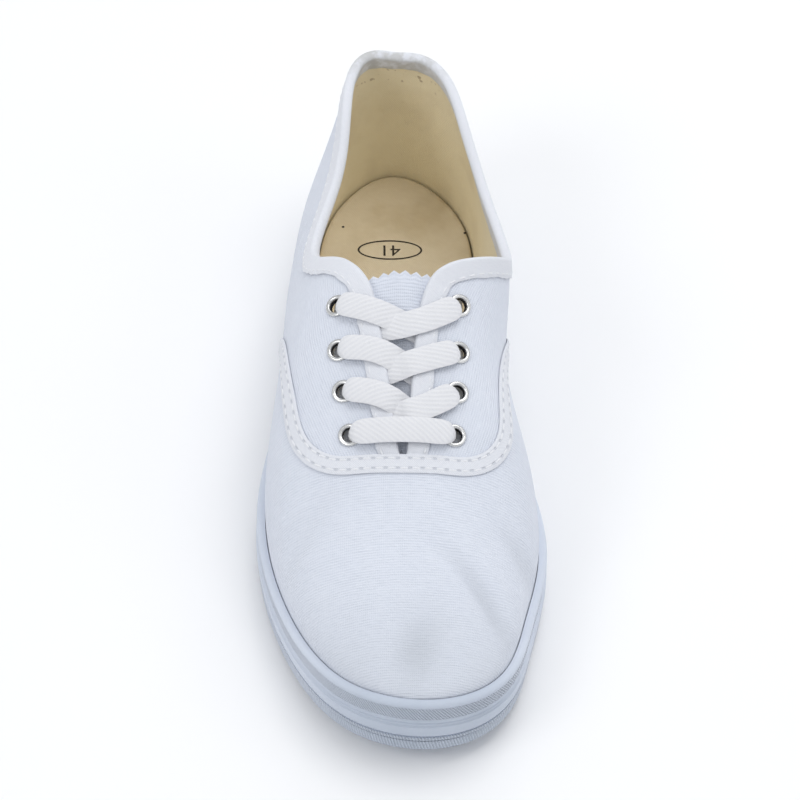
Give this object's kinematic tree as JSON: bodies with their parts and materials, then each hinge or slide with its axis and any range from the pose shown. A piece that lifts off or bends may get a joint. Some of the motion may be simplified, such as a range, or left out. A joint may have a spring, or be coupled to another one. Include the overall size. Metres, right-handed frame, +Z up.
{
  "type": "canvas sneaker",
  "caption": "Low canvas lace-up sneaker for the right foot, with a rubber outsole and foxing, taped collar and seam, metal eyelets and a flat lace.",
  "frame": {"origin": "on the floor, under the middle of the shoe's length and width", "axes": "+Z up, -Y towards the toe, +X towards the inner (medial) side of the right foot"},
  "size_m": [0.099, 0.272, 0.0881],
  "materials": {
    "canvas": "matt cotton canvas, bluish white",
    "tape": "matt woven cotton tape, white",
    "lining": "matt cotton drill, beige",
    "rubber": "satin vulcanised rubber, pale bluish white",
    "nickel": "nickel-plated brass"
  },
  "bodies": {
    "root": {"outsole": "rubber", "foxing": "rubber", "insole": "lining", "upper": "canvas", "tongue": "canvas", "collar_tape": "tape", "seam_tape": "tape", "eyelet_lateral_1": "nickel", "eyelet_lateral_2": "nickel", "eyelet_lateral_3": "nickel", "eyelet_lateral_4": "nickel", "eyelet_medial_1": "nickel", "eyelet_medial_2": "nickel", "eyelet_medial_3": "nickel", "eyelet_medial_4": "nickel", "lace_bar": "tape", "lace_crossing_1": "tape", "lace_crossing_2": "tape", "lace_crossing_3": "tape"}
  },
  "joints": []
}
